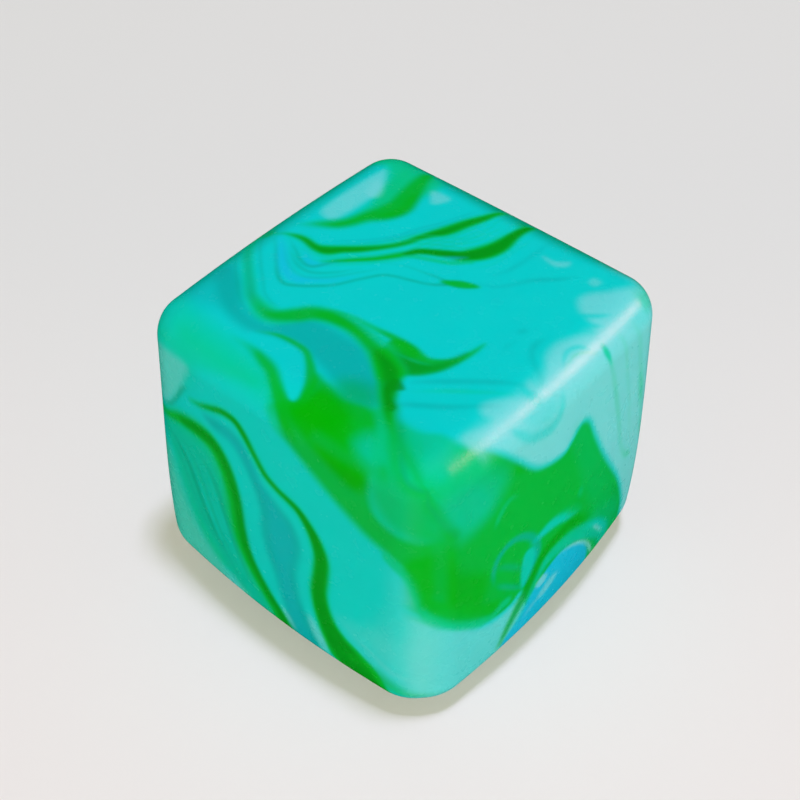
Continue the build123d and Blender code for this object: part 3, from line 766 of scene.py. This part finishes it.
def base_face(m):
    m.face = "base"
    m.patch("sea", ((-36, -10), (-12, -6), (0, -12), (12, -8), (20, 2), (10, 8), (-4, 2), (-16, 6),
        (-36, 4)), 3, .5)
    m.patch("frost_and_reflection", ((14, -36), (10, -20), (16, -12), (26, -10), (36, -14), (36, -36)), 2, .6)
    m.patch("frost_and_reflection", ((-36, -36), (-12, -36), (-16, -22), (-24, -16), (-36, -14)), 2, .5)
    m.patch("green", ((-36, 36), (-36, 18), (-24, 14), (-12, 18), (-2, 14), (8, 18), (16, 36)), 1.6, .9)
    m.patch("leaf", ((-30, 36), (-28, 22), (-14, 24), (0, 21), (6, 36)), 4, .8)
    for ribbon in (((2.8, -31, 1.4), (1, -24, 1.2), (-4, -18, 1.2), (-12, -14, 1.3), (-20, -13, 1.2),
            (-30, -14, 1)), ((18, -31, 3.6), (17, -24, 2.6), (12, -18, 1.6), (8, -11, 1.4),
            (12, -3, 1.3), (20, 2, 1.3), (30, 2, 1.2)), ((-30, -2, .8), (-20, 2, 1), (-12, 8, 1.2),
            (-2, 8, 1.1), (6, 11, 1.2), (14, 10, 1), (22, 14, .9), (30, 14, .8))):
        m.band("jade", widths(ribbon, more=.8), 1.5, .6)
        m.band("green", ribbon, 1.1, .95)
        m.band("deep", widths(ribbon, times=.5), .9, .8)
    m.band("blue", ((-22, -8, .1), (-10, -9, 1), (0, -6, 1.2), (6, 2, 1), (14, 7, .6), (20, 8, .1)), 1.8,
        .6)


def near_edge(m):
    """What runs over the near upright edge, from the top to the right side."""
    m.face = "top"
    m.patch("cyan", ((15, -25), (18, -26), (19, -29), (18.5, -32), (16, -31), (14, -28)), 4, .42)
    strand = ((10, -15, .5), (13, -19, .9), (17, -22.5, 1), (20, -26, 1), (24, -31, 1), (31, -30, 1),
        (36, -27, .9), (41, -24, .8), (43.5, -22.5, .3))
    m.band("green", strand, 2.4, .6)
    m.band("dark_teal_and_rim_shade", [(x + .8, y + .6, w * .45) for x, y, w in strand[1:-1]], 1.2, .45)
    m.streaks("jade", strand[2:-1], (2.2, 3.6), .3, .5, .8)
    # jade rim and green shoulder above the pale foot
    m.face = "right"
    foot = ((-35, 10), (-32, 7.5), (-30.5, 4), (-29, 0), (-25, -3.5), (-21, -7), (-17, -9.5), (-13, -9))
    m.band("jade", [(y, z, 1) for y, z in foot], 1.1, .85)
    m.band("green", [(y + 1, z + 1.7, 1.5) for y, z in foot[1:-1]], 1.6, .85)


def marbling(points):
    """Shares of the pigments at points of the moulded cube."""
    m = Marbling(points)
    for lay in (base_face, back_face, left_face, right_grounds, front_grounds, top_grounds, top_frost_and_highlight,
            near_edge, right_strokes, front_strokes, top_strokes):
        lay(m)
    return m.share


# ---- materials (colours are linear) ------------------------------------------------------
PIGMENT_COLOURS = {
    "cyan": (0.0, 0.60, 0.56), "jade": (0.0, 0.54, 0.21), "dark_teal_and_rim_shade": (0.0, 0.36, 0.205),
    "green": (0.0, 0.44, 0.012), "leaf": (0.0, 0.42, 0.0), "deep": (0.0, 0.285, 0.006),
    "sea": (0.0, 0.405, 0.365), "blue": (0.004, 0.50, 0.72), "frost_and_reflection": (0.20, 0.66, 0.66),
}
DRIFT_TINT = (0.75, 0.86, 0.92, 1)
GEL_DEEP = (0.40, 0.70, 0.66, 1)
GEL_PALE = (0.52, 0.78, 0.77, 1)
BUBBLE = (0.75, 0.9, 0.9, 1)
PLUG_DARK = (0.22, 0.57, 0.53, 1)
PLUG_PALE = (0.30, 0.65, 0.60, 1)
GLUE_YELLOW = (0.80, 0.82, 0.70, 1)
GLUE_CLEAR = (0.88, 0.90, 0.84, 1)
FIBRE = (0.7, 0.7, 0.7, 1)


class Nodes:
    """Short calls for building one material's nodes."""

    def __init__(self, name):
        self.material = bpy.data.materials.new(name)
        self.material.use_nodes = True
        self.tree = self.material.node_tree
        self.shader = self.tree.nodes["Principled BSDF"]

    def add(self, kind, inputs=(), **settings):
        node = self.tree.nodes.new("ShaderNode" + kind)
        for key, value in settings.items():
            setattr(node, key, value)
        for key, value in dict(inputs).items():
            self.put(node, key, value)
        return node

    def put(self, node, key, value):
        if isinstance(value, bpy.types.NodeSocket):
            self.tree.links.new(value, node.inputs[key])
        else:
            node.inputs[key].default_value = value

    def noise(self, place, scale, detail=2.0, roughness=0.5, distortion=0.0):
        return self.add("TexNoise", {"Vector": place, "Scale": scale, "Detail": detail,
                "Roughness": roughness, "Distortion": distortion}).outputs["Fac"]

    def math(self, operation, *values):
        return self.add("Math", enumerate(values), operation=operation).outputs[0]

    def span(self, value, low, high, to_low=0.0, to_high=1.0):
        return self.add("MapRange", {"Value": value, "From Min": low, "From Max": high, "To Min": to_low,
                                     "To Max": to_high}, interpolation_type="SMOOTHSTEP").outputs[0]

    def mix(self, factor, a, b, blend_type="MIX"):
        node = self.add("Mix", data_type="RGBA", blend_type=blend_type)
        for socket, value in ((node.inputs[0], factor), (node.inputs[6], a), (node.inputs[7], b)):
            if isinstance(value, bpy.types.NodeSocket):
                self.tree.links.new(value, socket)
            else:
                socket.default_value = value
        return node.outputs[2]

    def bump(self, height, distance, strength, under=None):
        inputs = {"Height": height, "Distance": distance, "Strength": strength}
        if under is not None:
            inputs["Normal"] = under
        return self.add("Bump", inputs).outputs[0]

    def surface(self, **inputs):
        for key, value in inputs.items():
            self.put(self.shader, key.replace("_", " "), value)


def skin_material():
    """Marbled rubber with painted edge shade and painted reflections: pigment shares from the mesh,
    mixed here, with slow drift and fine grain.
    """
    n = Nodes("marbled_skin")
    place = n.add("TexCoord").outputs["Object"]
    shares = []
    for name in ("marble_a", "marble_b", "marble_c"):
        attribute = n.add("Attribute", attribute_name=name)
        split = n.add("SeparateXYZ", {"Vector": attribute.outputs["Vector"]})
        shares += list(split.outputs)
    colour = None
    for pigment, share in zip(PIGMENTS, shares):
        inputs = {0: PIGMENT_COLOURS[pigment], 1: share}
        if colour is not None:
            inputs[2] = colour
        colour = n.add("VectorMath", inputs, operation="MULTIPLY_ADD").outputs[0]
    frost_and_reflection = shares[PIGMENTS.index("frost_and_reflection")]

    drift = n.noise(place, 70, detail=3, roughness=0.55, distortion=0.6)
    colour = n.mix(n.span(drift, 0.35, 0.75, to_high=0.22), colour, DRIFT_TINT, "MULTIPLY")
    grain = n.noise(place, 2600, detail=2, roughness=0.6)
    orange_peel = n.noise(place, 420, detail=2, roughness=0.5)
    rough = n.span(orange_peel, 0.3, 0.7, to_low=0.22, to_high=0.28)
    rough = n.math("ADD", rough, n.math("MULTIPLY", frost_and_reflection, 0.06))
    normal = n.bump(orange_peel, distance=0.00003, strength=0.6)
    normal = n.bump(grain, distance=0.00004, strength=0.6, under=normal)
    n.surface(Base_Color=colour, Roughness=rough, Normal=normal)
    n.surface(IOR=1.42, Specular_IOR_Level=0.2)
    n.surface(Subsurface_Weight=0.25, Subsurface_Radius=(0.3, 1.0, 0.9), Subsurface_Scale=0.0009)
    return n.material


def gel_material():
    """Cloudy pale aqua gel with a few bubbles."""
    n = Nodes("gel_filling")
    place = n.add("TexCoord").outputs["Object"]
    cloud = n.noise(place, 90, detail=4, roughness=0.6, distortion=0.8)
    colour = n.mix(n.span(cloud, 0.3, 0.7), GEL_DEEP, GEL_PALE)
    bubble = n.add("TexVoronoi", {"Vector": place, "Scale": 240.0}).outputs["Distance"]
    colour = n.mix(n.span(bubble, 0.04, 0.10, to_low=0.5, to_high=0.0), colour, BUBBLE)
    rough = n.span(cloud, 0.3, 0.7, to_low=0.16, to_high=0.26)
    n.surface(Base_Color=colour, Roughness=rough, Normal=n.bump(cloud, distance=0.0004, strength=0.4))
    n.surface(IOR=1.40, Subsurface_Weight=0.6, Subsurface_Radius=(0.8, 1.0, 1.0), Subsurface_Scale=0.004)
    return n.material


def plug_material():
    """Frosted plain aqua rubber, with fine moulding grain and turning marks on the head."""
    n = Nodes("plug_rubber")
    place = n.add("TexCoord").outputs["Object"]
    grain = n.noise(place, 1500, detail=3, roughness=0.6)
    tone = n.noise(place, 240, detail=2, roughness=0.5)
    colour = n.mix(n.span(tone, 0.3, 0.7), PLUG_DARK, PLUG_PALE)
    rings = n.add("TexWave", {"Vector": place, "Scale": 260.0, "Distortion": 0.2, "Detail": 1.0},
            wave_type="RINGS", rings_direction="Z").outputs["Fac"]
    normal = n.bump(grain, distance=0.00004, strength=0.5)
    normal = n.bump(rings, distance=0.00002, strength=0.35, under=normal)
    rough = n.span(grain, 0.3, 0.7, to_low=0.5, to_high=0.62)
    n.surface(Base_Color=colour, Roughness=rough, Normal=normal)
    n.surface(IOR=1.42, Specular_IOR_Level=0.3, Subsurface_Weight=0.2, Subsurface_Radius=(0.6, 1.0, 1.0),
              Subsurface_Scale=0.0008)
    return n.material


def adhesive_material():
    """Clear set adhesive, slightly yellow, glossy, with trapped haze."""
    n = Nodes("clear_adhesive")
    place = n.add("TexCoord").outputs["Object"]
    haze = n.noise(place, 600, detail=3, roughness=0.6)
    colour = n.mix(n.span(haze, 0.35, 0.7), GLUE_YELLOW, GLUE_CLEAR)
    rough = n.span(haze, 0.3, 0.7, to_low=0.08, to_high=0.2)
    n.surface(Base_Color=colour, Roughness=rough, Normal=n.bump(haze, distance=0.00005, strength=0.5))
    n.surface(IOR=1.47, Transmission_Weight=0.6, Coat_Weight=0.4)
    return n.material


def floor_material():
    """Plain pale board, with painted light: a little lighter beyond the cube's front right edge."""
    n = Nodes("floor")
    place = n.add("TexCoord").outputs["Object"]
    front_right = (math.sin(AZIMUTH), -math.cos(AZIMUTH), 0)
    forward = n.add("VectorMath", {0: place, 1: front_right}, operation="DOT_PRODUCT").outputs["Value"]
    colour = n.mix(n.span(forward, -0.10, 0.06), FLOOR_FAR, FLOOR_NEAR)
    fibre = n.noise(place, 900, detail=3, roughness=0.6)
    colour = n.mix(n.span(fibre, 0.3, 0.7, to_high=0.02), colour, FIBRE)
    n.surface(Base_Color=colour, Roughness=0.9, Specular_IOR_Level=0.0)
    return n.material


def soften(mesh, shares):
    """Blend every point's shares with its neighbours', so that no colour edge steps along the grid."""
    ends = np.empty(2 * len(mesh.edges), np.int32)
    mesh.edges.foreach_get("vertices", ends)
    total = 4 * shares
    count = np.full(len(shares), 4.0)
    for a, b in ((ends[::2], ends[1::2]), (ends[1::2], ends[::2])):
        np.add.at(total, a, shares[b])
        np.add.at(count, a, 1)
    return total / count[:, None]


def store_shares(obj, shares):
    """Keep the pigments' shares on the mesh, three to an attribute."""
    for _ in range(SOFT_PASSES):
        shares = soften(obj.data, shares)
    for k, name in enumerate(("marble_a", "marble_b", "marble_c")):
        layer = obj.data.attributes.new(name, "FLOAT_VECTOR", "POINT")
        layer.data.foreach_set("vector", shares[:, 3 * k:3 * k + 3].astype(np.float32).ravel())


# ---- camera, floor and light ---------------------------------------------------------------
# painted light: the board's colour runs from darker far off to lighter beyond the cube's front right
# edge
FLOOR_FAR = (0.765, 0.74, 0.71, 1)
FLOOR_NEAR = (0.87, 0.80, 0.755, 1)
FLOOR_REACH = 12.0                       # half the board's width, metres
KEY_WAY = (0.640, 0.620, 0.455)          # from the cube to the softbox that draws the long highlight
SOFTBOXES = (                            # name, way to it, distance, width, height, watts, colour
    ("over", (0.09, 0.04, 1.0), 1.0, 0.12, 0.12, 5.5, (0.68, 0.71, 1.0)),
    ("sheen", KEY_WAY, 0.7, 0.26, 0.18, 5.2, (1.0, 0.34, 0.36)),       # only for reflections
)
FILLS = (                                # name, way from the cube, strength, colour; they cast no shadow
    ("front", (-0.25, -1.0, 0.20), 0.72, (1.0, 0.99, 0.94)),
    ("side", (1.0, -0.2, 0.20), 1.25, (1.0, 0.99, 0.98)),
    ("rear", (-0.8, 0.9, 0.15), 0.55, (1.0, 1.0, 0.96)),
)
FILL_DISTANCE = 2.0
FILL_ANGLE = math.radians(2)
ZENITH = (0.44, 0.45, 0.33, 1)
HORIZON = (0.70, 0.69, 0.67, 1)


def make_camera():
    data = bpy.data.cameras.new("camera")
    data.sensor_width = SENSOR
    data.lens = LENS
    camera = bpy.data.objects.new("camera", data)
    bpy.context.scene.collection.objects.link(camera)
    back = Vector((math.sin(AZIMUTH) * math.cos(ELEVATION),
                   -math.cos(AZIMUTH) * math.cos(ELEVATION), math.sin(ELEVATION)))
    middle = Vector((0, 0, HALF))
    camera.location = middle + back * DISTANCE * HALF
    forward = -back
    right = forward.cross(Vector((0, 0, 1))).normalized()
    up = right.cross(forward)
    aim = (forward + math.tan(AIM_RIGHT) * right + math.tan(AIM_UP) * up).normalized()
    camera.rotation_euler = aim.to_track_quat("-Z", "Y").to_euler()
    data.clip_start = 0.01
    data.clip_end = 20
    bpy.context.scene.camera = camera


def add_light(name, kind, way, distance):
    """A light at a distance from the cube's middle, aimed at it; only the sheen shows in reflections."""
    data = bpy.data.lights.new(name, kind)
    light = bpy.data.objects.new(name, data)
    bpy.context.scene.collection.objects.link(light)
    way = Vector(way).normalized()
    light.location = Vector((0, 0, HALF)) + way * distance
    light.rotation_euler = way.to_track_quat("Z", "Y").to_euler()
    light.visible_glossy = name == "sheen"
    light.visible_diffuse = name != "sheen"
    return data


def make_lights():
    for name, way, distance, width, height, watts, colour in SOFTBOXES:
        data = add_light(name, "AREA", way, distance)
        data.shape = "RECTANGLE"
        data.size = width
        data.size_y = height
        data.energy = watts
        data.color = colour
    for name, way, strength, colour in FILLS:
        data = add_light(name, "SUN", way, FILL_DISTANCE)
        data.angle = FILL_ANGLE
        data.energy = strength
        data.color = colour
        data.use_shadow = False


def make_world():
    """A pale wall of light near the horizon under a dimmer, yellower ceiling."""
    world = bpy.data.worlds.new("studio")
    bpy.context.scene.world = world
    world.use_nodes = True
    tree = world.node_tree
    way = tree.nodes.new("ShaderNodeTexCoord")
    split = tree.nodes.new("ShaderNodeSeparateXYZ")
    rise = tree.nodes.new("ShaderNodeMapRange")
    rise.interpolation_type = "SMOOTHSTEP"
    rise.inputs["From Min"].default_value = 0.1
    rise.inputs["From Max"].default_value = 0.6
    mix = tree.nodes.new("ShaderNodeMix")
    mix.data_type = "RGBA"
    mix.inputs[6].default_value = HORIZON
    mix.inputs[7].default_value = ZENITH
    tree.links.new(way.outputs["Generated"], split.inputs[0])
    tree.links.new(split.outputs[2], rise.inputs["Value"])
    tree.links.new(rise.outputs[0], mix.inputs[0])
    tree.links.new(mix.outputs[2], tree.nodes["Background"].inputs["Color"])
    world.cycles_visibility.glossy = False   # the skin's colours stay deep


def make_floor():
    mesh = bpy.data.meshes.new("floor")
    r = FLOOR_REACH
    mesh.from_pydata([(-r, -r, 0), (r, -r, 0), (r, r, 0), (-r, r, 0)], [], [(0, 1, 2, 3)])
    floor = bpy.data.objects.new("floor", mesh)
    bpy.context.scene.collection.objects.link(floor)
    floor.data.materials.append(floor_material())
    floor.visible_glossy = False             # for the same reason as the world


def repaint(node, material):
    """Give a CAD node that stays in view its finished material."""
    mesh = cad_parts[node].data
    mesh.materials.clear()
    mesh.materials.append(material)


make_camera()
make_world()
make_lights()
make_floor()

skin, skin_q = make_skin()
store_shares(skin, marbling(skin_q * MOULD_HALF))
skin.data.materials.append(skin_material())
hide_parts("skin_lower", "skin_upper")
skin.visible_diffuse = False             # the board stays neutral, with no coloured light from the cube

gel = make_gel()
gel.data.materials.append(gel_material())
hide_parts("filling")

for piece in (skin, gel):
    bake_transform(piece)
repaint("fill_plug", plug_material())
repaint("plug_seal", adhesive_material())

bpy.context.scene.view_settings.view_transform = "Standard"
